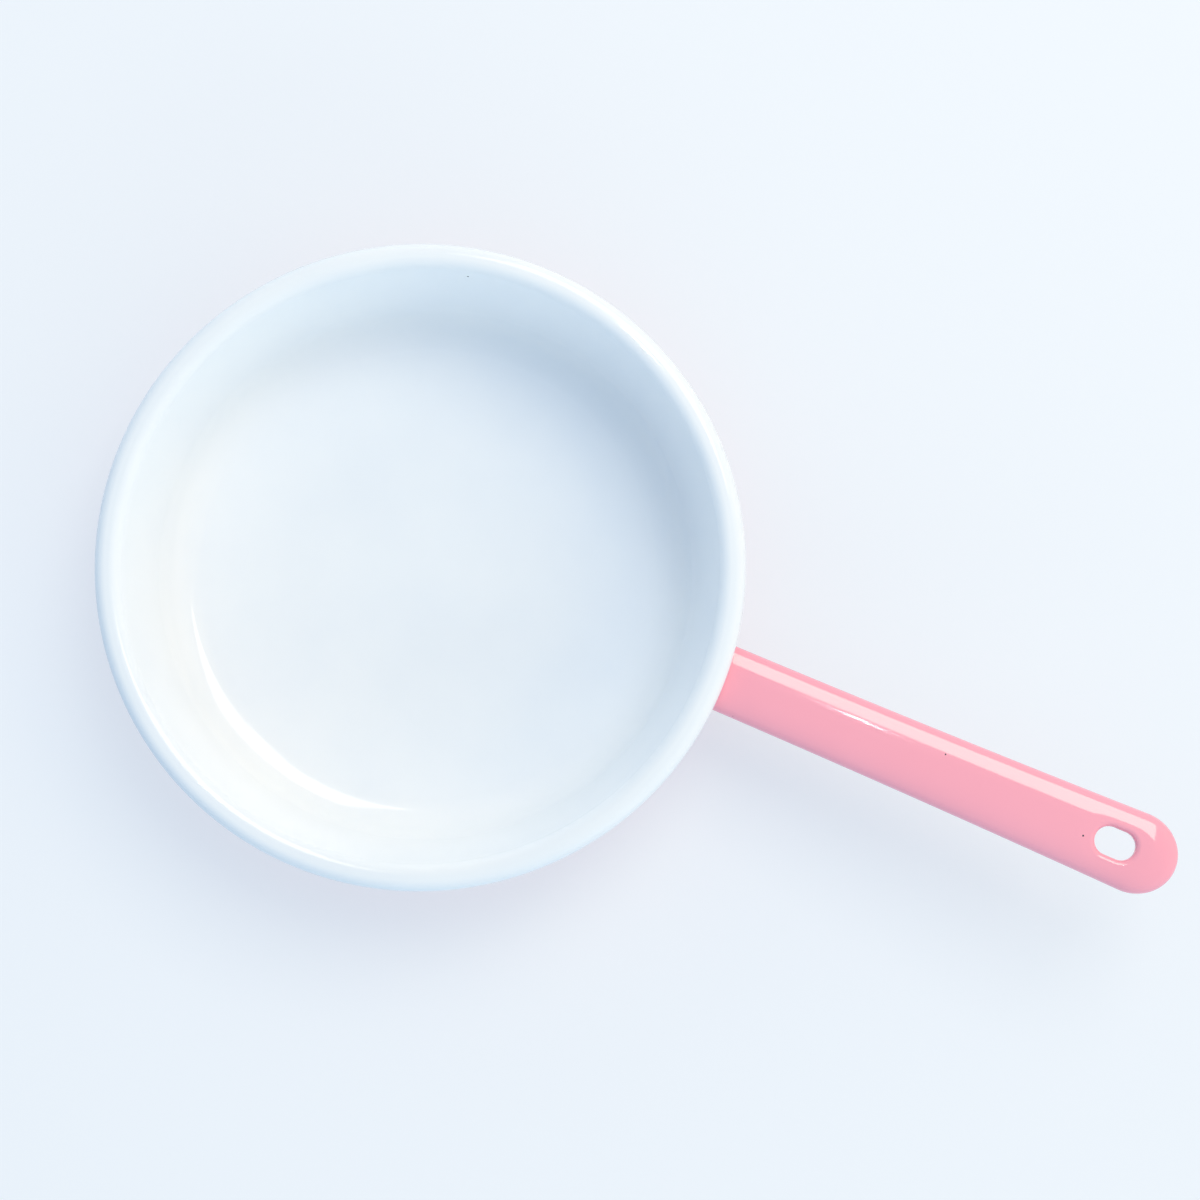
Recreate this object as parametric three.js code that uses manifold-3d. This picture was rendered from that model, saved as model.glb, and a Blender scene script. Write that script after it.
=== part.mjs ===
// Enamelled steel frying pan, standing on its base, handle along +X, +Z up, in millimetres.
// The origin is the centre of the base's underside.
//
// A bowl is drawn from sheet steel and its edge is rolled outwards into a bead. A handle is pressed from
// sheet as a C-section, open underneath, and welded to the wall below the bead. White enamel then covers
// the inside of the bowl and the whole bead, and pink enamel covers the outside and the handle.

import * as THREE from "three";
import { mergeVertices } from "three/addons/utils/BufferGeometryUtils.js";
import Module from "manifold-3d";

// Driving dimensions: lengths in millimetres, angles in degrees
const RIM_DIAMETER = 240; // over the bead
const PAN_HEIGHT = 46.5; // base to the top of the bead
const BEAD_DIAMETER = 9; // rolled rim, over its enamel
const BEAD_EDGE_GAP = 1; // between the rolled edge and the wall
const BOWL_SHEET = 1; // steel of the bowl
const HANDLE_SHEET = 1; // steel of the handle
const ENAMEL = 0.3; // coat on each face
const WALL_LEAN = 16; // wall from the vertical
const CORNER_RADIUS = 16; // bend from floor to wall, at mid sheet

const HANDLE_REACH = 295.6; // pan axis to the handle's tip, level
const HANDLE_OFFSET = 6.5; // handle's middle line to the left of the pan axis, as it was welded on
const HANDLE_RISE = 7; // handle's climb from the level
const ROOT_WIDTH = 25.3; // handle at the bowl
const TIP_WIDTH = 29.8; // handle where its round end starts
const END_LENGTH = 15.6; // round end of the handle
const CROWN_HEIGHT = 5.6; // handle's widest line to its top
const BELLY_DEPTH = 7; // handle's widest line down to where its sides would close
const MOUTH_DEPTH = 5.2; // handle's widest line down to its open underside
const CROWN_FULLNESS = 2.7; // superellipse power of the section's upper half
const BELLY_FULLNESS = 2.3; // superellipse power of the section's lower half
const SLOT_LENGTH = 15; // hanging slot
const SLOT_WIDTH = 10.5;
const SLOT_TO_TIP = 23.5; // slot's centre to the handle's tip
const SLOT_COLLAR = 4; // depth of the collar drawn down round the slot
const SLOT_BEND = 0.4; // inside radius of the bend from the handle's top into the collar
const WELD_RADIUS = 2.2; // weld bead in the corner of handle and wall
const WELD_CLIMB = 4.8; // weld bead's top above the handle's widest line
const SEAT_GAP = 0.3; // between pieces that are cut to fit each other
const BOND_GAP = 0.01; // between a coat and its steel

// Facets
const TURNS = 56; // round the bowl
const CORNER_STEPS = 4;
const BEAD_STEPS = 9;
const SIDE_STEPS = 8; // along each side of the handle
const END_STEPS = 10; // round its end
const CROWN_STEPS = 6; // over half of its section
const BELLY_STEPS = 5;
const SLOT_STEPS = 8; // round each end of the slot
const BEND_STEPS = 2; // over the part of its bend that is an arc
const BEND_ARC = 60; // degrees of that part, from where the bend runs straight out of the handle's top
const WELD_STEPS = 6; // along each weld bead
const WELD_SIDES = 8; // round its section
const MERGE = 1e-4; // vertices closer than this are one
const NEAR = 1e-6; // how closely a meeting point is found

const radians = THREE.MathUtils.degToRad;
const wasm = await Module();
wasm.setup();

// Finishes
const bareSteel = new THREE.MeshStandardMaterial({ color: 0x8d9196, roughness: 0.45, metalness: 1 });
const whiteEnamel = new THREE.MeshStandardMaterial({ color: 0xeef3f9, roughness: 0.12, metalness: 0 });
const pinkEnamel = new THREE.MeshStandardMaterial({ color: 0xfa8f9f, roughness: 0.14, metalness: 0 });

// Solids and booleans

// Turns a closed geometry into a solid: only positions are kept, shared vertices merge, collapsed faces go.
function solidOf(geometry) {
  const bare = new THREE.BufferGeometry().setAttribute("position", geometry.getAttribute("position"));
  bare.setIndex(geometry.index);
  const merged = mergeVertices(bare, MERGE);
  const index = merged.index.array;
  const triVerts = [];
  for (let i = 0; i < index.length; i += 3) {
    const [a, b, c] = index.subarray(i, i + 3);
    if (a !== b && b !== c && c !== a) triVerts.push(a, b, c);
  }
  const vertProperties = new Float32Array(merged.attributes.position.array);
  const mesh = new wasm.Mesh({ numProp: 3, vertProperties, triVerts: new Uint32Array(triVerts) });
  return new wasm.Manifold(mesh);
}

function geometryOf(solid) {
  const mesh = solid.getMesh();
  const geometry = new THREE.BufferGeometry();
  geometry.setAttribute("position", new THREE.BufferAttribute(mesh.vertProperties, 3));
  geometry.setIndex(new THREE.BufferAttribute(mesh.triVerts, 1));
  geometry.computeVertexNormals();
  return geometry;
}

function piece(name, solid, material) {
  const mesh = new THREE.Mesh(geometryOf(solid), material);
  mesh.name = name;
  return mesh;
}

// Bowl: one path runs along the middle of the sheet, and each layer lies between two offsets of it

const wallLean = radians(WALL_LEAN);
const steelFace = BOWL_SHEET / 2; // mid sheet to the face of the steel
const coatFoot = steelFace + BOND_GAP; // mid sheet to where a coat starts
const bowlSkin = steelFace + ENAMEL; // mid sheet to the face of a coat
const beadRadius = BEAD_DIAMETER / 2;
const curlRadius = beadRadius - bowlSkin; // of the mid sheet in the bead
const beadCentre = new THREE.Vector2(RIM_DIAMETER / 2 - beadRadius, PAN_HEIGHT - beadRadius);
const inward = new THREE.Vector2(-Math.cos(wallLean), Math.sin(wallLean)); // square to the wall, into the pan
const upWall = new THREE.Vector2(Math.sin(wallLean), Math.cos(wallLean));
const wallTop = beadCentre.clone().addScaledVector(inward, curlRadius);
const floorLevel = bowlSkin; // mid sheet above the ground
const cornerHeight = floorLevel + CORNER_RADIUS; // centre of the corner bend
const wallFootHeight = cornerHeight - CORNER_RADIUS * Math.sin(wallLean);
const wallFoot = wallTop.clone().addScaledVector(upWall, (wallFootHeight - wallTop.y) / upWall.y);
const floorRadius = wallFoot.x - CORNER_RADIUS * Math.cos(wallLean);

// The bead turns until its coated edge is BEAD_EDGE_GAP from the wall's coat. The steel stops a coat short.
const edgeAngle = Math.acos((beadRadius - 2 * bowlSkin - BEAD_EDGE_GAP) / beadRadius);
const coatTurn = 2 * Math.PI - edgeAngle;
const steelTurn = coatTurn - ENAMEL / curlRadius;
const bondTurn = steelTurn + BOND_GAP / curlRadius;

// A point of the sheet's middle and the direction there towards the exposed, white side.
const station = (at, side) => ({ at, side });
const polar = (angle) => new THREE.Vector2(Math.cos(angle), Math.sin(angle));

function cornerStations() {
  const centre = new THREE.Vector2(floorRadius, cornerHeight);
  return Array.from({ length: CORNER_STEPS + 1 }, (_, i) => {
    const out = polar(THREE.MathUtils.lerp(-Math.PI / 2, -wallLean, i / CORNER_STEPS));
    return station(centre.clone().addScaledVector(out, CORNER_RADIUS), out.negate());
  });
}

function beadStation(turn) {
  const out = polar(Math.PI - wallLean - turn);
  return station(beadCentre.clone().addScaledVector(out, curlRadius), out);
}

const floorCentre = station(new THREE.Vector2(0, floorLevel), new THREE.Vector2(0, 1));
// The outer coat ends on the wall across from the bead's cut edge.
const coatEnd = station(wallTop.clone().addScaledVector(upWall, -beadRadius * Math.sin(edgeAngle)), inward);
const bead = Array.from({ length: BEAD_STEPS + 1 }, (_, i) => beadStation((steelTurn * i) / BEAD_STEPS));
const bowlPath = [floorCentre, ...cornerStations(), coatEnd, ...bead];
const outsidePath = [...cornerStations(), coatEnd];
const basePath = [floorCentre, cornerStations()[0]];

const offset = (path, d) => path.map(({ at, side }) => at.clone().addScaledVector(side, d));

// A closed profile turned about the pan's axis.
function turned(profile) {
  const closed = profile[0].x > 0 ? [...profile, profile[0].clone()] : profile;
  return solidOf(new THREE.LatheGeometry(closed, TURNS).rotateX(Math.PI / 2));
}

// A layer of the bowl between two offsets of a path.
const bowlLayer = (path, from, to) => turned([...offset(path, from), ...offset(path, to).reverse()]);

// The white coat: it lines the bowl, follows the bead round and folds over the steel's cut edge.
function insideCoat() {
  const tip = beadStation(coatTurn);
  const bonded = [...bowlPath.slice(0, -1), beadStation(bondTurn)];
  const underEdge = offset([bonded.at(-1), tip], -steelFace);
  const exposed = offset([...bonded, tip], bowlSkin).reverse();
  return turned([...offset(bonded, coatFoot), ...underEdge, ...exposed]);
}

// Everything within `clearance` of the bowl's outside, filled to the axis and up past the bead: the tool
// that copes what meets the bowl.
function bowlEnvelope(clearance) {
  const lowest = new THREE.Vector2(0, -clearance);
  const outside = offset(outsidePath, -bowlSkin - clearance);
  const round = Array.from({ length: BEAD_STEPS + 1 }, (_, i) => {
    const angle = THREE.MathUtils.lerp(edgeAngle - wallLean - Math.PI, Math.PI / 2, i / BEAD_STEPS);
    return beadCentre.clone().addScaledVector(polar(angle), beadRadius + clearance);
  });
  const highest = new THREE.Vector2(0, PAN_HEIGHT + clearance);
  return turned([lowest, ...outside, ...round, highest]);
}

// Handle: its own frame has +X along its widest line, from abreast of the pan's axis, and +Z square to that.
// The crown touches the bead from below, less the seat gap, at the bead's centre.

const rise = radians(HANDLE_RISE);
const handleSkin = HANDLE_SHEET + 2 * ENAMEL;
const crownAtBead = PAN_HEIGHT - BEAD_DIAMETER - SEAT_GAP;
const handleAxisHeight = crownAtBead - CROWN_HEIGHT / Math.cos(rise) - beadCentre.x * Math.tan(rise);
const handleLength = HANDLE_REACH / Math.cos(rise); // from the pan's axis, along the handle
const endStart = handleLength - END_LENGTH;
const slotCentre = handleLength - SLOT_TO_TIP;
const rootStart = wallFoot.x; // inside the wall, where the cope cuts it off
const toPan = new THREE.Matrix4().makeRotationY(-rise).setPosition(0, HANDLE_OFFSET, handleAxisHeight);

// Half of the handle's width: even near the bowl, wider towards the end.
function halfWidth(x) {
  const along = (x - rootStart) / (endStart - rootStart);
  return THREE.MathUtils.lerp(ROOT_WIDTH, TIP_WIDTH, along ** 2) / 2;
}

// The handle's outline seen from above, from the bowl round the end and back: each entry has a point on the
// centre line and the reach from there to the edge.
function handleOutline(inset) {
  const side = Array.from({ length: SIDE_STEPS + 1 }, (_, i) => {
    const x = THREE.MathUtils.lerp(rootStart, endStart, i / SIDE_STEPS);
    return { x, reach: new THREE.Vector2(0, halfWidth(x) - inset) };
  });
  const end = Array.from({ length: END_STEPS - 1 }, (_, i) => {
    const turn = polar(THREE.MathUtils.lerp(Math.PI / 2, -Math.PI / 2, (i + 1) / END_STEPS));
    const reach = new THREE.Vector2(turn.x * (END_LENGTH - inset), turn.y * (TIP_WIDTH / 2 - inset));
    return { x: endStart, reach };
  });
  const back = side.map(({ x, reach }) => ({ x, reach: reach.clone().negate() })).reverse();
  return [...side, ...end, ...back];
}

// The handle's section from its top to its bottom: how far out, as a share of the reach, and how high.
function handleSection(inset) {
  const quarter = (steps, height, fullness) =>
    Array.from({ length: steps + 1 }, (_, i) => {
      const turn = polar(((Math.PI / 2) * i) / steps);
      return { out: turn.x ** (2 / fullness), up: height * turn.y ** (2 / fullness) };
    });
  const crown = quarter(CROWN_STEPS, CROWN_HEIGHT - inset, CROWN_FULLNESS).reverse();
  const belly = quarter(BELLY_STEPS, inset - BELLY_DEPTH, BELLY_FULLNESS).slice(1);
  crown[0].out = 0;
  belly.at(-1).out = 0;
  return [...crown, ...belly];
}

// The whole inside of the handle's skin, `inset` in from its outer face, as one closed solid.
function handleBlank(inset) {
  const outline = handleOutline(inset);
  const section = handleSection(inset);
  const positions = outline.flatMap(({ x, reach }) =>
    section.flatMap(({ out, up }) => [x + reach.x * out, reach.y * out, up]),
  );
  const rows = section.length;
  const last = outline.length - 1;
  const index = [];
  for (let i = 0; i < last; i++)
    for (let j = 0; j < rows - 1; j++) {
      const a = i * rows + j;
      index.push(a, a + rows, a + 1, a + rows, a + rows + 1, a + 1);
    }
  for (let j = 0; j < rows - 1; j++) {
    const a = j;
    const b = last * rows + j;
    index.push(a, a + 1, b, b, a + 1, b + 1);
  }
  const geometry = new THREE.BufferGeometry();
  geometry.setAttribute("position", new THREE.BufferAttribute(new Float32Array(positions), 3));
  geometry.setIndex(index);
  return solidOf(geometry);
}

// A closed solid through rings of equally many points, counted anticlockwise from above, lowest ring first.
function loft(rings) {
  const count = rings[0].length;
  const top = (rings.length - 1) * count;
  const index = [];
  for (let ring = 0; ring < top; ring += count)
    for (let j = 0; j < count; j++) {
      const a = ring + j;
      const b = ring + ((j + 1) % count);
      index.push(a, b, b + count, a, b + count, a + count);
    }
  for (let j = 1; j < count - 1; j++) index.push(0, j + 1, j, top, top + j, top + j + 1);
  const geometry = new THREE.BufferGeometry().setFromPoints(rings.flat());
  geometry.setIndex(index);
  return solidOf(geometry);
}

// The hanging slot's outline grown by `growth`: a half circle round each end of its middle line.
function slotPlan(growth) {
  const straight = (SLOT_LENGTH - SLOT_WIDTH) / 2;
  const halfCircle = (x, start) =>
    Array.from({ length: SLOT_STEPS + 1 }, (_, i) => {
      const out = polar(start + (Math.PI * i) / SLOT_STEPS);
      return out.multiplyScalar(SLOT_WIDTH / 2 + growth).add(new THREE.Vector2(x, 0));
    });
  const towardsTip = halfCircle(slotCentre + straight, -Math.PI / 2);
  const towardsBowl = halfCircle(slotCentre - straight, Math.PI / 2);
  return [...towardsTip, ...towardsBowl];
}

const levelRing = (growth, z) => slotPlan(growth).map(({ x, y }) => new THREE.Vector3(x, y, z));

// Height of the handle's top over a plan point, short of its round end.
function crownTop({ x, y }) {
  const share = Math.abs(y) / halfWidth(x);
  return CROWN_HEIGHT * (1 - share ** CROWN_FULLNESS) ** (1 / CROWN_FULLNESS);
}

// What the slot takes out of the handle at one depth of its skin, between two heights: straight up, then out
// along an arc that bends away from the collar, on in a straight line through the handle's top, and up.
function slotTool(inset, low, high) {
  const bend = SLOT_BEND + handleSkin; // of the outer face
  const radius = bend - inset;
  const edge = slotPlan(bend).map(crownTop);
  const ring = (out, up) =>
    slotPlan(bend - out).map(({ x, y }, i) => new THREE.Vector3(x, y, edge[i] - bend + up));
  const arc = Array.from({ length: BEND_STEPS + 1 }, (_, i) => {
    const turn = radians((BEND_ARC * i) / BEND_STEPS);
    return ring(radius * Math.cos(turn), radius * Math.sin(turn));
  });
  const { x: fall, y: climb } = polar(radians(BEND_ARC)).multiplyScalar(radius);
  const beyond = ring(fall - climb, climb + fall);
  return loft([levelRing(inset, low), ...arc, beyond, levelRing(bend - fall + climb, high)]);
}

// A sheet of the handle, from one depth of its skin to another, with `margin` of the skin's edges left off:
// the slot goes through it, its underside is open, and the slot's collar ends above the mouth.
function handleShell(outer, inner, margin) {
  const below = -2 * BELLY_DEPTH;
  const above = 2 * CROWN_HEIGHT;
  const level = (inset) => handleBlank(inset).subtract(slotTool(inset, below, above));
  const mouthFloor = margin - MOUTH_DEPTH;
  const mouth = new THREE.BoxGeometry(2 * handleLength, 2 * TIP_WIDTH, mouthFloor - below);
  mouth.translate(handleLength, 0, (mouthFloor + below) / 2);
  const collarFoot = CROWN_HEIGHT - SLOT_COLLAR + margin;
  const underCollar = loft([below, collarFoot].map((z) => levelRing(handleSkin + SEAT_GAP, z)));
  return level(outer).subtract(level(inner)).subtract(solidOf(mouth)).subtract(underCollar);
}

const bowlCope = bowlEnvelope(SEAT_GAP);
const fitted = (solid) => solid.transform(toPan.elements).subtract(bowlCope);
const handleCore = (gap) => handleShell(ENAMEL - gap, ENAMEL + HANDLE_SHEET + gap, ENAMEL - gap);
const handleCoat = handleShell(0, handleSkin, 0).subtract(handleCore(BOND_GAP));

// Welds: a round bead laid in the corner of wall and handle, down each side

// Where a line along the handle's skin, at one point of its section, meets the wall's outer face.
function cornerPoint({ out, up }, hand) {
  const at = (x) => new THREE.Vector3(x, hand * halfWidth(x) * out, up).applyMatrix4(toPan);
  const wallRadius = (z) => wallTop.x + bowlSkin / Math.cos(wallLean) + (z - wallTop.y) * Math.tan(wallLean);
  let near = 0;
  let far = handleLength;
  while (far - near > NEAR) {
    const middle = (near + far) / 2;
    const point = at(middle);
    if (Math.hypot(point.x, point.y) < wallRadius(point.z)) near = middle;
    else far = middle;
  }
  return at(near);
}

function weldBead(hand) {
  const section = handleSection(0).filter(({ up }) => up < WELD_CLIMB && up > -MOUTH_DEPTH);
  const route = new THREE.CatmullRomCurve3(section.map((point) => cornerPoint(point, hand)));
  const round = new THREE.Shape().absarc(0, 0, WELD_RADIUS, 0, 2 * Math.PI);
  const options = { extrudePath: route, steps: WELD_STEPS, curveSegments: WELD_SIDES, bevelEnabled: false };
  const weld = solidOf(new THREE.ExtrudeGeometry(round, options));
  return weld.subtract(handleBlank(-SEAT_GAP).transform(toPan.elements)).subtract(bowlCope);
}

// The pan
const pan = new THREE.Group();
pan.name = "enamel_frying_pan";
pan.add(
  piece("bowl_pressing", bowlLayer(bowlPath, -steelFace, steelFace), bareSteel),
  piece("inside_enamel", insideCoat(), whiteEnamel),
  piece("outside_enamel", bowlLayer(outsidePath, -bowlSkin, -coatFoot), pinkEnamel),
  piece("base_enamel", bowlLayer(basePath, -bowlSkin, -coatFoot), pinkEnamel),
  piece("handle_pressing", fitted(handleCore(0)), bareSteel),
  piece("handle_enamel", fitted(handleCoat), pinkEnamel),
  piece("handle_weld_left", weldBead(1), pinkEnamel),
  piece("handle_weld_right", weldBead(-1), pinkEnamel),
);

export default pan;
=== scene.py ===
import bmesh
import bpy
import numpy as np
from mathutils import Matrix, Vector


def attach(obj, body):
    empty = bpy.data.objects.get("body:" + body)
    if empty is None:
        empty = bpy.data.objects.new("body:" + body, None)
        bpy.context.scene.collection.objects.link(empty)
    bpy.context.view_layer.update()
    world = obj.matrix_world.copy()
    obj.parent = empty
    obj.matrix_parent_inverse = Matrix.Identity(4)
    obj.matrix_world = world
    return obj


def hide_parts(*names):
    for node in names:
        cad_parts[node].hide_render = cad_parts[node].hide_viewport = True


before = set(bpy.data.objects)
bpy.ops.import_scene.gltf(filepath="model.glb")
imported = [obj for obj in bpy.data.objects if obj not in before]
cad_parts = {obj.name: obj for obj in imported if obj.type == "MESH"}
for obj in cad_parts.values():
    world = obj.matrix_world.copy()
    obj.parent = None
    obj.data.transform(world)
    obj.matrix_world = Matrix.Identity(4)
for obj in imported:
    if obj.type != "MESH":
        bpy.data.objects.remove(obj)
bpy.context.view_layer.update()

# Sizes of the pan, in metres and radians. The rim's flat, the skin's edges, the slot's dish and the welds are
# the scene's own, and the rest is as the solids have it.
MM = 0.001
RIM_RADIUS = 120 * MM  # over the rolled rim
PAN_HEIGHT = 46.5 * MM  # base to the top of the rim
BEAD_RADIUS = 4.5 * MM  # over the enamel of the rolled rim
BEAD_EDGE_GAP = 1 * MM  # rolled edge to the wall
BEAD_FLAT = 1.1 * MM  # how much wider than high the white coat makes the rolled rim, towards the inside
STEEL_FACE = 0.5 * MM  # middle of the sheet to its face
BOND_GAP = 0.01 * MM  # between the steel and a coat
COAT_FACE = 0.8 * MM  # middle of the sheet to the face of a coat
WALL_LEAN = np.radians(16)  # wall from the upright
CORNER_RADIUS = 16 * MM  # floor to wall, at the middle of the sheet

HANDLE_REACH = 295.6 * MM  # pan axis to the handle's tip
HANDLE_OFFSET = 6.5 * MM  # handle's middle line to the left of the pan's axis
HANDLE_RISE = np.radians(7)  # handle's climb from the level
ROOT_WIDTH = 25.3 * MM  # handle at the bowl
TIP_WIDTH = 29.8 * MM  # handle where its round end starts
END_LENGTH = 15.6 * MM  # round end of the handle
CROWN_HEIGHT = 5.6 * MM  # widest line to the top
BELLY_DEPTH = 7 * MM  # widest line to where the sides would close
MOUTH_DEPTH = 5.2 * MM  # widest line to the open underside
CROWN_FULLNESS = 2.7  # superellipse power of the section's upper half
BELLY_FULLNESS = 2.3  # and of its lower half
HANDLE_SKIN = 1.6 * MM  # steel and both coats
SKIN_EDGE = 0.4 * MM  # rounding of the skin's edges, at the mouth and in the slot
SLOT_LENGTH = 15 * MM
SLOT_WIDTH = 10.5 * MM
SLOT_TO_TIP = 23.5 * MM  # slot's centre to the handle's tip
SLOT_COLLAR = 4 * MM  # depth of the collar, from the handle's top
SLOT_BEND = 2 * MM  # from the handle's top into the collar, at the outer face
SLOT_DISH = 0.2 * MM  # how far the press pulls the handle down round the slot
SLOT_DISH_REACH = 6 * MM
SLOT_DISH_FADE = 6  # power with which the pull fades towards the handle's outline
SEAT_GAP = 0.3 * MM  # handle's top to the rim's underside
WELD_RADIUS = 1.7 * MM
WELD_CLEAR = 0.6 * MM  # weld's middle line from the faces that it joins
WELD_BLUNTNESS = 8  # power with which the weld thins out at its ends
SAME_POINT = 0.002 * MM  # points closer than this are one

# Points along and across the surfaces
TURNS = 240  # round the bowl
FLOOR_POINTS = 9
CORNER_POINTS = 25
WALL_POINTS = 9
CURL_POINTS = 61  # steel of the rolled rim
RIM_POINTS = 21, 41  # white face of the rolled rim: inner quarter, roll
LIP_POINTS = 11  # round the white coat's end
CROWN_POINTS = 25  # half of the handle's upper section
BELLY_POINTS = 13
SHANK_POINTS = 90
SIDE_POINTS = 28  # along a side of the handle's end, from the slot's zone
END_POINTS = 49  # round the handle's end
COLLAR_RINGS = 4
BEND_RINGS = 11
TOP_RINGS = 40  # from the slot's bend to the handle's outline
EDGE_STEPS = 3  # over a rounded edge of the skin
WELD_POINTS = 33
WELD_SIDES = 24
HALVINGS = 40  # of an interval in which a meeting point is looked for

# How the pan stands to the camera: lens, place in metres and turns in degrees, for a square picture
SENSOR = 36  # mm
LENS = 60  # mm
RIM_FROM_CAMERA = np.array([-0.0657, -0.0137, 0.7339])  # right, down and away, to the rim's centre
LEAN = -4.44  # about the picture's level line
SWING = -1.28  # about its upright line
HANDLE_TURN = 23.45  # handle below the picture's level


# Camera


def rotation(degrees, axis):
    return np.array(Matrix.Rotation(np.radians(degrees), 3, axis))


def camera_axes():
    """Rows: the picture's right, down and away directions in the pan's frame. The pan faces the camera, its
    handle turned below the level, and is then swung and leaned a little."""
    c, s = np.cos(np.radians(HANDLE_TURN)), np.sin(np.radians(HANDLE_TURN))
    facing = np.array([[c, s, 0], [s, -c, 0], [0, 0, -1]])
    return rotation(LEAN, "X") @ rotation(SWING, "Y") @ facing


def place_camera():
    """Puts the camera where the rim's centre lies as measured from it."""
    axes = camera_axes()
    rim_centre = np.array([0, 0, PAN_HEIGHT])
    right, down, away = axes
    camera = bpy.data.objects.new("camera", bpy.data.cameras.new("camera"))
    camera.data.sensor_width = SENSOR
    camera.data.lens = LENS
    turned = np.eye(4)
    turned[:3, :3] = np.stack([right, -down, -away], 1)
    turned[:3, 3] = rim_centre - axes.T @ RIM_FROM_CAMERA
    camera.matrix_world = Matrix(turned.tolist())
    bpy.context.scene.collection.objects.link(camera)
    bpy.context.scene.camera = camera


place_camera()


# Mesh helpers


def grid_quads(rows, columns, rows_closed=False):
    """Corner numbers of every cell of a grid whose points are counted row by row."""
    number = np.arange(rows * columns).reshape(rows, columns)
    if rows_closed:
        number = np.vstack([number, number[:1]])
    return np.stack([number[:-1, :-1], number[1:, :-1], number[1:, 1:], number[:-1, 1:]], -1).reshape(-1, 4)


def new_piece(name, patches, material, slot, *nodes):
    """One mesh from (points, quads) patches, welded where their points meet, riding on the pan."""
    counts = np.cumsum([0] + [len(points) for points, _ in patches])
    points = np.concatenate([points for points, _ in patches])
    quads = np.concatenate([quads + start for (_, quads), start in zip(patches, counts)])
    mesh = bpy.data.meshes.new(name)
    mesh.from_pydata(points.tolist(), [], quads.tolist())
    made = bmesh.new()
    made.from_mesh(mesh)
    bmesh.ops.remove_doubles(made, verts=made.verts, dist=SAME_POINT)
    made.to_mesh(mesh)
    made.free()
    mesh.shade_smooth()
    mesh.materials.append(material)
    piece = bpy.data.objects.new(name, mesh)
    bpy.context.scene.collection.objects.link(piece)
    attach(piece, "root")
    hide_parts(*nodes)
    return piece


# Materials


def linear(colour):
    """An sRGB hex colour as linear red, green, blue and alpha."""
    s = np.array([int(colour[i : i + 2], 16) for i in (1, 3, 5)]) / 255
    return (*np.where(s <= 0.04045, s / 12.92, ((s + 0.055) / 1.055) ** 2.4), 1.0)


def add(tree, kind, settings=(), **inputs):
    """A node of this kind with its settings and, by input name or number, its values and links."""
    node = tree.nodes.new(kind)
    for key, value in dict(settings).items():
        setattr(node, key, value)
    for key, value in inputs.items():
        socket = node.inputs[int(key[1:]) if key[1:].isdigit() else key.replace("_", " ")]
        if isinstance(value, bpy.types.NodeSocket):
            tree.links.new(value, socket)
        else:
            socket.default_value = value
    return node


def new_material(name):
    material = bpy.data.materials.new(name)
    material.use_nodes = True
    material.node_tree.nodes.clear()
    return material, material.node_tree


def per_metre(millimetres):
    """Texture scale that gives a pattern of this spacing in Object coordinates."""
    return 1000 / millimetres


# Enamel, with spacings and the speck's radius in millimetres
SPECK_SPACING = 4
SPECK_RADIUS = 0.35
SPECK_COLOUR = "#2E2A30"
CLOUD_SPACING = 45  # thicker and thinner parts of the coat
CLOUD_RANGE = (0.35, 0.75)  # of the noise, from the body colour to the thinnest coat
CLOUD_SHARE = 0.5  # of the thin colour where the coat is thinnest
SWELL = 9, 0.1 * MM, 0.12, 1.0  # slow waves of the surface: spacing, height, strength, detail
PEEL = 1.6, 0.02 * MM, 0.05, 0.0  # its fine orange peel, likewise
ENAMEL_ROUGHNESS = (0.05, 0.11)

# Steel
STREAK_SPACING = 0.8  # mm, across the rolling
STREAK_STRETCH = (0.05, 1, 1)
STEEL_ROUGHNESS = (0.35, 0.55)
STEEL_COLOUR = "#A4A8AC"


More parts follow.
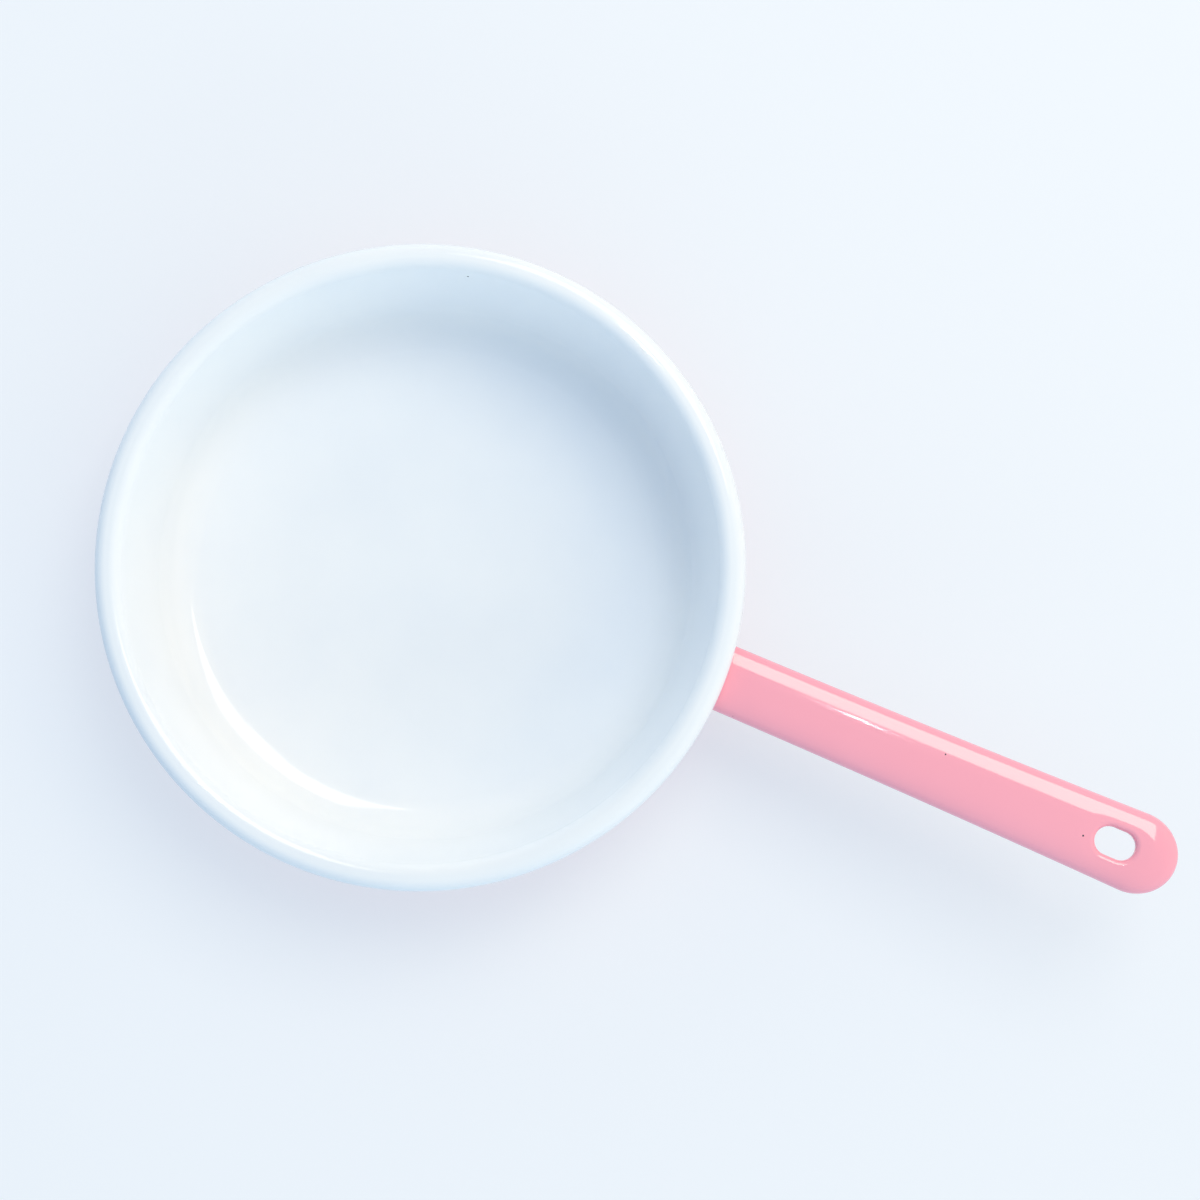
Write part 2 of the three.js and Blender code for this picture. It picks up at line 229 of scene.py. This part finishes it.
def vitreous_enamel(name, body, thin, ior, speck_share, speck_shift):
    """Vitreous enamel: glass frit fused on steel. It gives the eye a deep wet gloss on a surface that is
    never quite flat, a body colour that varies a little with the coat's thickness, and a few burnt specks."""
    material, tree = new_material(name)
    place = add(tree, "ShaderNodeTexCoord").outputs["Object"]
    cloud = add(tree, "ShaderNodeTexNoise", Vector=place, Scale=per_metre(CLOUD_SPACING), Detail=2.0)
    thinness = cloud.outputs["Fac"]
    least, most = CLOUD_RANGE
    patchy = add(
        tree, "ShaderNodeMapRange", Value=thinness, From_Min=least, From_Max=most, To_Max=CLOUD_SHARE
    )
    mix = {"data_type": "RGBA"}
    coat = add(tree, "ShaderNodeMix", mix, _0=patchy.outputs[0], _6=linear(body), _7=linear(thin))
    shifted = add(tree, "ShaderNodeMapping", Vector=place, Location=speck_shift).outputs[0]
    cells = add(tree, "ShaderNodeTexVoronoi", Vector=shifted, Scale=per_metre(SPECK_SPACING)).outputs
    chance = add(tree, "ShaderNodeSeparateColor", Color=cells["Color"]).outputs["Red"]
    less = {"operation": "LESS_THAN"}
    chosen = add(tree, "ShaderNodeMath", less, _0=chance, _1=speck_share)
    spot = add(tree, "ShaderNodeMath", less, _0=cells["Distance"], _1=SPECK_RADIUS / SPECK_SPACING)
    speck = add(tree, "ShaderNodeMath", {"operation": "MULTIPLY"}, _0=chosen.outputs[0], _1=spot.outputs[0])
    burnt = linear(SPECK_COLOUR)
    colour = add(tree, "ShaderNodeMix", mix, _0=speck.outputs[0], _6=coat.outputs[2], _7=burnt)
    normal = {}
    for spacing, height, strength, detail in (SWELL, PEEL):
        relief = add(tree, "ShaderNodeTexNoise", Vector=place, Scale=per_metre(spacing), Detail=detail)
        rise = relief.outputs["Fac"]
        bump = add(tree, "ShaderNodeBump", Strength=strength, Distance=height, Height=rise, **normal)
        normal = {"Normal": bump.outputs[0]}
    smooth, dull = ENAMEL_ROUGHNESS
    rough = add(tree, "ShaderNodeMapRange", Value=thinness, To_Min=smooth, To_Max=dull)
    shader = add(
        tree,
        "ShaderNodeBsdfPrincipled",
        Base_Color=colour.outputs[2],
        Roughness=rough.outputs[0],
        IOR=ior,
        **normal,
    )
    add(tree, "ShaderNodeOutputMaterial", Surface=shader.outputs[0])
    return material


def rolled_steel():
    """Cold-rolled sheet steel: grey and satin, with faint rolling streaks."""
    material, tree = new_material("cold_rolled_steel")
    place = add(tree, "ShaderNodeTexCoord").outputs["Object"]
    along = add(tree, "ShaderNodeMapping", Vector=place, Scale=STREAK_STRETCH).outputs[0]
    streak = add(tree, "ShaderNodeTexNoise", Vector=along, Scale=per_metre(STREAK_SPACING), Detail=2.0)
    smooth, dull = STEEL_ROUGHNESS
    tone = streak.outputs["Fac"]
    rough = add(tree, "ShaderNodeMapRange", Value=tone, To_Min=smooth, To_Max=dull).outputs[0]
    shader = add(
        tree, "ShaderNodeBsdfPrincipled", Base_Color=linear(STEEL_COLOUR), Metallic=1.0, Roughness=rough
    )
    add(tree, "ShaderNodeOutputMaterial", Surface=shader.outputs[0])
    return material


white = vitreous_enamel("white_vitreous_enamel", "#F0F4F9", "#E8EEF6", 1.52, 0.004, (0.1, 0, 0))
pink = vitreous_enamel("pink_vitreous_enamel", "#FFA6B8", "#FAA0B2", 1.8, 0.06, (0.8, 0, 0))
steel = rolled_steel()


# Bowl: a path along the middle of the sheet, from the axis to the rolled edge, and offsets of it

bead_centre = np.array([RIM_RADIUS - BEAD_RADIUS, PAN_HEIGHT - BEAD_RADIUS])
curl_radius = BEAD_RADIUS - COAT_FACE
into_pan = np.array([-np.cos(WALL_LEAN), np.sin(WALL_LEAN)])  # out of the wall, towards the inside
up_wall = np.array([np.sin(WALL_LEAN), np.cos(WALL_LEAN)])
wall_top = bead_centre + curl_radius * into_pan
corner_height = COAT_FACE + CORNER_RADIUS
wall_foot_height = corner_height - CORNER_RADIUS * np.sin(WALL_LEAN)
wall_foot = wall_top + up_wall * (wall_foot_height - wall_top[1]) / up_wall[1]
floor_radius = wall_foot[0] - CORNER_RADIUS * np.cos(WALL_LEAN)
bend_centre = np.array([floor_radius, corner_height])
edge_angle = np.arccos((BEAD_RADIUS - 2 * COAT_FACE - BEAD_EDGE_GAP) / BEAD_RADIUS)
coat_turn = 2 * np.pi - edge_angle
steel_turn = coat_turn - (COAT_FACE - STEEL_FACE) / curl_radius
curl_end = np.pi - WALL_LEAN - steel_turn  # direction in which the steel's edge lies from the bead's centre
coat_end = wall_top - up_wall * BEAD_RADIUS * np.sin(edge_angle)


def polar(angle):
    return np.stack([np.cos(angle), np.sin(angle)], -1)


def floor_run():
    """Straight out from the axis: points and the direction of the white side."""
    r = np.linspace(0, floor_radius, FLOOR_POINTS)
    return np.stack([r, np.full(FLOOR_POINTS, COAT_FACE)], 1), np.tile([0.0, 1.0], (FLOOR_POINTS, 1))


def corner_run():
    """A bend, of a quarter circle less the wall's lean, about a centre above the floor's edge."""
    out = polar(np.linspace(-np.pi / 2, -WALL_LEAN, CORNER_POINTS))
    return bend_centre + CORNER_RADIUS * out, -out


def wall_run(top):
    """A straight line from the bend up to `top`."""
    share = np.linspace(0, 1, WALL_POINTS)[:, None]
    return wall_foot + share * (top - wall_foot), np.tile(into_pan, (WALL_POINTS, 1))


def curl_run():
    """An arc about the bead's centre, from the wall over the top and round."""
    out = polar(np.pi - WALL_LEAN - np.linspace(0, steel_turn, CURL_POINTS))
    return bead_centre + curl_radius * out, out


def offset(runs, distance):
    """The runs joined, moved by `distance` towards the white side."""
    return np.concatenate([points + distance * sides for points, sides in runs])


def lathe(profile):
    """The profile (r, z) carried round the axis: (r cos a, r sin a, z), a grid of turns by profile points."""
    angle = np.linspace(0, 2 * np.pi, TURNS, endpoint=False)[:, None]
    r, z = profile[None, :, 0], profile[None, :, 1]
    points = np.stack([r * np.cos(angle), r * np.sin(angle), np.broadcast_to(z, (TURNS, len(profile)))], -1)
    return points.reshape(-1, 3), grid_quads(TURNS, len(profile), rows_closed=True)


sheet_runs = [floor_run(), corner_run(), wall_run(wall_top), curl_run()]


def steel_sheet():
    """Closed profile: out along the sheet's lower face to the rolled edge, and back along its upper face."""
    return lathe(np.concatenate([offset(sheet_runs, -STEEL_FACE), offset(sheet_runs, STEEL_FACE)[::-1]]))


def white_face():
    """Inside profile of the white coat: floor, bend, wall, the rim's inner quarter, a short flat and its
    roll. The wall is the straight line that touches the circles of the bend and of the inner quarter, which
    gives its lean."""
    bend = CORNER_RADIUS - COAT_FACE
    inner_centre = bead_centre - [BEAD_FLAT, 0]
    apart = inner_centre - bend_centre
    lean = np.arccos((BEAD_RADIUS + bend) / np.hypot(*apart)) - np.arctan2(apart[1], apart[0])
    inner_points, roll_points = RIM_POINTS
    turned = bend_centre + bend * polar(np.linspace(-np.pi / 2, -lean, CORNER_POINTS))
    inner = inner_centre + BEAD_RADIUS * polar(np.linspace(np.pi - lean, np.pi / 2, inner_points))
    wall = turned[-1] + np.linspace(0, 1, WALL_POINTS)[1:-1, None] * (inner[0] - turned[-1])
    roll = bead_centre + BEAD_RADIUS * polar(np.linspace(np.pi / 2, curl_end, roll_points))
    return np.concatenate([offset([floor_run()], COAT_FACE), turned[1:], wall, inner, roll])


def white_coat():
    """Closed profile: out along the steel to the rolled edge, round the edge by half an oval, back inside."""
    under = offset(sheet_runs, STEEL_FACE + BOND_GAP)
    outward, away = polar(curl_end), polar(curl_end - np.pi / 2)
    middle = bead_centre + curl_radius * outward
    swing = np.linspace(-np.pi / 2, np.pi / 2, LIP_POINTS)[:, None]
    lip = middle + away * np.cos(swing) * (COAT_FACE - STEEL_FACE) + outward * np.sin(swing) * COAT_FACE
    return lathe(np.concatenate([under, lip, white_face()[::-1]]))


def pink_coat():
    """Closed profile: out under the base, up the wall's outside to below the bead, back along the steel."""
    runs = [floor_run(), corner_run(), wall_run(coat_end)]
    face = offset(runs, -COAT_FACE)
    under = offset(runs, -STEEL_FACE - BOND_GAP)[::-1]
    return lathe(np.concatenate([face, under]))


new_piece("bowl_sheet", [steel_sheet()], steel, "steel", "bowl_pressing")
new_piece("inside_coat", [white_coat()], white, "white_enamel", "inside_enamel")
new_piece("outside_coat", [pink_coat()], pink, "pink_enamel", "outside_enamel", "base_enamel")


# Handle: a crowned C-section carried along a rising line, closed by a round end, with a slot let into it.
# Its own frame has x along it from the pan's axis, y to its left and z square to both.

handle_length = HANDLE_REACH / np.cos(HANDLE_RISE)
end_start = handle_length - END_LENGTH
slot_centre = handle_length - SLOT_TO_TIP
crown_at_bead = PAN_HEIGHT - 2 * BEAD_RADIUS - SEAT_GAP
axis_height = crown_at_bead - CROWN_HEIGHT / np.cos(HANDLE_RISE) - bead_centre[0] * np.tan(HANDLE_RISE)
slot_straight = (SLOT_LENGTH - SLOT_WIDTH) / 2
slot_zone = slot_centre - SLOT_LENGTH  # where the sweep ends and the rings round the slot begin


def to_pan(points):
    """From the handle's frame to the pan's."""
    x, y, z = np.moveaxis(points, -1, 0)
    c, s = np.cos(HANDLE_RISE), np.sin(HANDLE_RISE)
    return np.stack([x * c - z * s, y + HANDLE_OFFSET, x * s + z * c + axis_height], -1)


def half_width(x):
    """Even near the bowl, wider towards the end."""
    along = (x - wall_foot[0]) / (end_start - wall_foot[0])
    return (ROOT_WIDTH + (TIP_WIDTH - ROOT_WIDTH) * along**2) / 2


def superellipse(angle, height, fullness):
    """Share of the half width, and height, at angles counted from the widest line."""
    return np.cos(angle) ** (2 / fullness), height * np.sin(angle) ** (2 / fullness)


# Half of the section: the crown from the top to the widest line, then the belly down to the mouth
mouth_angle = np.arcsin((MOUTH_DEPTH / BELLY_DEPTH) ** (BELLY_FULLNESS / 2))
crown_out, crown_up = superellipse(np.linspace(np.pi / 2, 0, CROWN_POINTS), CROWN_HEIGHT, CROWN_FULLNESS)
belly_out, belly_up = superellipse(np.linspace(0, mouth_angle, BELLY_POINTS), -BELLY_DEPTH, BELLY_FULLNESS)
half_out = np.concatenate([crown_out, belly_out[1:]])
half_up = np.concatenate([crown_up, belly_up[1:]])
section_out = np.concatenate([-half_out[::-1], half_out[1:]])  # right mouth, over the top, to the left mouth
section_up = np.concatenate([half_up[::-1], half_up[1:]])
welded = slice(CROWN_POINTS // 2, -2)  # shoulder to near the mouth
weld_out, weld_up = half_out[welded], half_up[welded]


def wall_radius(z):
    """Outer face of the bowl's wall at this height."""
    return wall_top[0] + COAT_FACE / np.cos(WALL_LEAN) + (z - wall_top[1]) * np.tan(WALL_LEAN)


def meeting_with_wall(out, up):
    """Where lines along the handle's skin reach the wall, found by halving the interval."""
    near, far = np.zeros_like(out), np.full_like(out, handle_length)
    for _ in range(HALVINGS):
        middle = (near + far) / 2
        x, y, z = np.moveaxis(to_pan(np.stack([middle, half_width(middle) * out, up], -1)), -1, 0)
        inside = np.hypot(x, y) < wall_radius(z)
        near, far = np.where(inside, middle, near), np.where(inside, far, middle)
    return near


def shank():
    """The section, scaled to the handle's width, carried from the wall to the slot's zone."""
    start = meeting_with_wall(section_out, section_up)
    along = np.linspace(0, 1, SHANK_POINTS)[:, None]
    x = start + along * (slot_zone - start)
    points = np.stack([x, half_width(x) * section_out, np.broadcast_to(section_up, x.shape)], -1)
    return to_pan(points.reshape(-1, 3)), grid_quads(*x.shape)


def crown_height(x, y):
    """Height of the handle's top over a point of its plan, drawn down a little round the slot."""
    beyond = np.maximum(x - end_start, 0) / END_LENGTH
    share = np.clip(np.hypot(beyond, y / half_width(np.minimum(x, end_start))), 0, 1)
    top = CROWN_HEIGHT * (1 - share**CROWN_FULLNESS) ** (1 / CROWN_FULLNESS)
    from_line = np.hypot(np.maximum(np.abs(x - slot_centre) - slot_straight, 0), y)
    away = np.clip((from_line - SLOT_WIDTH / 2) / SLOT_DISH_REACH, 0, 1)
    return top - SLOT_DISH * (1 - away**2) ** 2 * (1 - share**SLOT_DISH_FADE)


def end_outline():
    """Plan of the handle round the slot: across the top at the zone's start, then round the end. Counted the
    way that keeps the slot on the right."""
    across = half_width(slot_zone) * np.concatenate([-crown_out[::-1], crown_out[1:]])
    start = np.stack([np.full_like(across, slot_zone), across], 1)
    x = np.linspace(slot_zone, end_start, SIDE_POINTS)[1:]
    left = np.stack([x, half_width(x)], 1)
    round_end = polar(np.linspace(np.pi / 2, -np.pi / 2, END_POINTS))[1:-1] * [END_LENGTH, TIP_WIDTH / 2]
    right = left[::-1] * [1, -1]
    return start, np.concatenate([start[-1:], left, round_end + [end_start, 0], right, start[:1]])


def slot_points(towards, growth):
    """The slot's outline, grown, at the points that face these plan points: a half circle about each end of
    its middle line, joined by straights."""
    angle = np.arctan2(towards[:, 1], towards[:, 0] - slot_centre)
    joint = np.arctan2(SLOT_WIDTH / 2, slot_straight)  # direction in which a straight begins
    knots = [-np.pi, joint - np.pi, -joint, joint, np.pi - joint, np.pi]
    middle = slot_straight * np.interp(angle, knots, [-1, -1, 1, 1, -1, -1])
    out = polar(np.pi * np.interp(angle, knots, [-1, -0.5, -0.5, 0.5, 0.5, 1]))
    return np.stack([slot_centre + middle, np.zeros_like(middle)], 1) + (SLOT_WIDTH / 2 + growth) * out


def slot_end():
    """Rings from the foot of the slot's collar, over the bend and across the top to the handle's outline."""
    start, around = end_outline()
    loop = np.concatenate([start[:-1], around[:-1]])
    edge = slot_points(loop, SLOT_BEND)
    turn = np.linspace(0, np.pi / 2, BEND_RINGS)[:, None]
    bend = np.stack([slot_points(loop, growth) for growth in SLOT_BEND * (1 - np.cos(turn[:, 0]))])
    bend_height = crown_height(*edge.T) - SLOT_BEND * (1 - np.sin(turn))
    climb = np.linspace(0, 1, COLLAR_RINGS + 1)[:-1, None]
    collar_foot = CROWN_HEIGHT - SLOT_COLLAR
    collar_height = collar_foot + climb * (bend_height[0] - collar_foot)
    collar = np.broadcast_to(bend[0], (len(climb), *bend[0].shape))
    share = ((1 - np.cos(np.pi * np.linspace(0, 1, TOP_RINGS + 1))) / 2)[1:, None, None]
    top = edge + share * (loop - edge)
    plan = np.concatenate([collar, bend, top])
    height = np.concatenate([collar_height, bend_height, crown_height(top[..., 0], top[..., 1])])
    points = np.concatenate([plan, height[..., None]], -1).transpose(1, 0, 2)
    return to_pan(points.reshape(-1, 3)), grid_quads(*points.shape[:2], rows_closed=True)


def end_skirt():
    """Below the widest line, the belly's section carried round the end's outline."""
    _, around = end_outline()
    middle = np.stack([np.minimum(around[:, 0], end_start), np.zeros(len(around))], 1)
    plan = middle[:, None] + (around - middle)[:, None] * belly_out[None, :, None]
    height = np.broadcast_to(belly_up, plan.shape[:2])
    points = np.concatenate([plan, height[..., None]], -1)
    return to_pan(points.reshape(-1, 3)), grid_quads(*points.shape[:2])


def add_modifier(piece, kind, **settings):
    modifier = piece.modifiers.new(kind.lower(), kind)
    for key, value in settings.items():
        setattr(modifier, key, value)


def mark_open_edges(mesh):
    """Gives the sheet's open edges the weight by which the bevel finds them, on both faces of the skin."""
    edge_of_corner = np.empty(len(mesh.loops), dtype=np.int32)
    mesh.loops.foreach_get("edge_index", edge_of_corner)
    faces_at_edge = np.bincount(edge_of_corner, minlength=len(mesh.edges))
    weight = mesh.attributes.new("bevel_weight_edge", "FLOAT", "EDGE")
    weight.data.foreach_set("value", (faces_at_edge == 1).astype(np.float32))


# One skin stands for the steel with both of its coats, as nothing bares the steel.
handle_patches = [shank(), slot_end(), end_skirt()]
handle = new_piece("handle_skin", handle_patches, pink, "pink_enamel", "handle_enamel", "handle_pressing")
add_modifier(
    handle, "SOLIDIFY", thickness=HANDLE_SKIN, offset=-1, use_even_offset=True, use_quality_normals=True
)
mark_open_edges(handle.data)
add_modifier(
    handle, "BEVEL", width=SKIN_EDGE, segments=EDGE_STEPS, limit_method="WEIGHT", use_clamp_overlap=False
)


def unit(vectors):
    return vectors / np.linalg.norm(vectors, axis=-1, keepdims=True)


def weld(hand):
    """A round bead along the corner of the handle's side and the wall: circles about a line a little clear of
    both faces, which shrink to nothing at both ends."""
    along, known = np.linspace(0, 1, WELD_POINTS), np.linspace(0, 1, len(weld_out))
    out, up = np.interp(along, known, weld_out), np.interp(along, known, weld_up)
    x = meeting_with_wall(hand * out, up)
    corner = np.stack([x, hand * half_width(x) * out, up], -1)
    run = np.gradient(corner, axis=0)
    off_handle = unit(np.stack([np.zeros_like(x), hand * run[:, 2], -hand * run[:, 1]], -1)) * [0, 1, 1]
    line = to_pan(corner)
    radial = unit(line * [1, 1, 0])
    off_wall = radial * np.cos(WALL_LEAN) - np.array([0, 0, np.sin(WALL_LEAN)])
    line = line + WELD_CLEAR * (unit(to_pan(off_handle) - to_pan(np.zeros(3))) + off_wall)
    ahead = unit(np.gradient(line, axis=0))
    side = unit(np.cross(ahead, off_wall))
    radius = WELD_RADIUS * np.sqrt(1 - np.linspace(-1, 1, WELD_POINTS) ** WELD_BLUNTNESS)
    angle = np.linspace(0, 2 * np.pi, WELD_SIDES, endpoint=False)[:, None, None]
    points = line + radius[:, None] * (np.cos(angle) * side + np.sin(angle) * np.cross(ahead, side))
    return points.reshape(-1, 3), grid_quads(WELD_SIDES, WELD_POINTS, rows_closed=True)


new_piece("weld_left", [weld(1)], pink, "pink_enamel", "handle_weld_left")
new_piece("weld_right", [weld(-1)], pink, "pink_enamel", "handle_weld_right")


# Stage: a pale floor under the pan, which is also the main view's background

FLOOR_HALF = 4.0  # metres from the pan's axis to the floor's sides
FLOOR_DROP = 0.1 * MM  # keeps the floor clear of the pan's base
FLOOR_COLOUR = "#F6FAFE"  # as the camera sees it
FLOOR_BOUNCE = "#BCCCE2"  # as it lights the pan
FLOOR_GLOW = 0.6  # share of the floor's picture that is even near the pan, the rest is lit and shadowed
FLOOR_FADE = (0.45, 1.1)  # distances from the pan between which the even share grows to the whole
AMBIENT_COLOUR = "#C8E4FF"
AMBIENT_STRENGTH = 0.67
BACKDROP_COLOUR = "#EAF1FA"  # what the camera and reflections see past the floor


def seen_directly(tree):
    """1 for rays from the camera, also mirrored or let through on their way, and 0 for scattered light."""
    path = add(tree, "ShaderNodeLightPath").outputs
    seen = path["Is Camera Ray"]
    for kind in ("Is Glossy Ray", "Is Transmission Ray"):
        seen = add(tree, "ShaderNodeMath", {"operation": "MAXIMUM"}, _0=seen, _1=path[kind]).outputs[0]
    return seen


def matt_card():
    """Pale card: no gloss, so that the pan's soft shadow is all that shows on it. To the camera part of it is
    an even pale tone, and far from the pan all of it, so that it runs into the backdrop. What it throws back
    on the pan is darker."""
    material, tree = new_material("matt_card")
    card = add(tree, "ShaderNodeBsdfDiffuse", Color=linear(FLOOR_COLOUR)).outputs[0]
    tone = add(tree, "ShaderNodeEmission", Color=linear(BACKDROP_COLOUR), Strength=1.0).outputs[0]
    bounce = add(tree, "ShaderNodeBsdfDiffuse", Color=linear(FLOOR_BOUNCE)).outputs[0]
    place = add(tree, "ShaderNodeTexCoord").outputs["Object"]
    far = add(tree, "ShaderNodeVectorMath", {"operation": "LENGTH"}, _0=place).outputs["Value"]
    near, end = FLOOR_FADE
    glow = add(tree, "ShaderNodeMapRange", Value=far, From_Min=near, From_Max=end, To_Min=FLOOR_GLOW)
    picture = add(tree, "ShaderNodeMixShader", _0=glow.outputs[0], _1=card, _2=tone).outputs[0]
    mixed = add(tree, "ShaderNodeMixShader", _0=seen_directly(tree), _1=bounce, _2=picture)
    add(tree, "ShaderNodeOutputMaterial", Surface=mixed.outputs[0])
    return material


def make_floor():
    mesh = bpy.data.meshes.new("floor")
    corners = FLOOR_HALF * np.array([[-1, -1, 0], [1, -1, 0], [1, 1, 0], [-1, 1, 0]]) - [0, 0, FLOOR_DROP]
    mesh.from_pydata(corners.tolist(), [], [[0, 1, 2, 3]])
    mesh.materials.append(matt_card())
    floor = bpy.data.objects.new("floor", mesh)
    bpy.context.scene.collection.objects.link(floor)


def make_world():
    """A bluish light from all round, and a pale backdrop for the camera and for reflections."""
    world = bpy.data.worlds.new("studio")
    bpy.context.scene.world = world
    world.use_nodes = True
    tree = world.node_tree
    tree.nodes.clear()
    ambient = add(tree, "ShaderNodeBackground", Color=linear(AMBIENT_COLOUR), Strength=AMBIENT_STRENGTH)
    backdrop = add(tree, "ShaderNodeBackground", Color=linear(BACKDROP_COLOUR), Strength=1.0)
    mixed = add(
        tree, "ShaderNodeMixShader", _0=seen_directly(tree), _1=ambient.outputs[0], _2=backdrop.outputs[0]
    )
    add(tree, "ShaderNodeOutputWorld", Surface=mixed.outputs[0])


def area_lamp(name, azimuth, off_view, distance, size, watts, colour, lights=True, mirrored=True):
    """A soft rectangular lamp that faces the pan, `distance` metres off. Seen from there it lies `azimuth`
    degrees round from the picture's right towards its top, and `off_view` degrees away from the camera. A
    lamp that is not `mirrored` leaves no patch of its own in the gloss, and one that doesn't light the pan
    only shows there."""
    right, down, away = camera_axes()
    a, p = np.radians(azimuth), np.radians(off_view)
    direction = np.sin(p) * (np.cos(a) * right - np.sin(a) * down) - np.cos(p) * away
    lamp = bpy.data.lights.new(name, "AREA")
    lamp.shape = "RECTANGLE"
    lamp.size, lamp.size_y = size
    lamp.energy = watts
    lamp.color = linear(colour)[:3]
    made = bpy.data.objects.new(name, lamp)
    made.location = Vector(direction * distance)
    made.rotation_euler = Vector(-direction).to_track_quat("-Z", "Y").to_euler()
    made.visible_camera = False
    made.visible_diffuse = lights
    made.visible_glossy = mirrored
    bpy.context.scene.collection.objects.link(made)


make_floor()
make_world()
KEY = 22, 59, 2.2, (3.2, 1.2), 16.8  # one lamp, warm where it lights and neutral in the gloss
area_lamp("key_softbox", *KEY, "#FFD688", mirrored=False)
area_lamp("key_gloss", *KEY, "#F4F8FF", lights=False)
area_lamp("top_softbox", 60, 40, 2.0, (1.1, 1.2), 16.5, "#FFF1DA")
area_lamp("back_fill", 120, 74, 2.0, (1.8, 0.9), 6.2, "#FFFDE0", mirrored=False)
area_lamp("low_fill", 290, 70, 2.0, (2.4, 0.9), 14.2, "#F6FEF1", mirrored=False)
area_lamp("small_lamp", 72, 19.5, 2.0, (0.01, 0.1), 0.3, "#FFFFFF")

bpy.context.scene.view_settings.view_transform = "Standard"
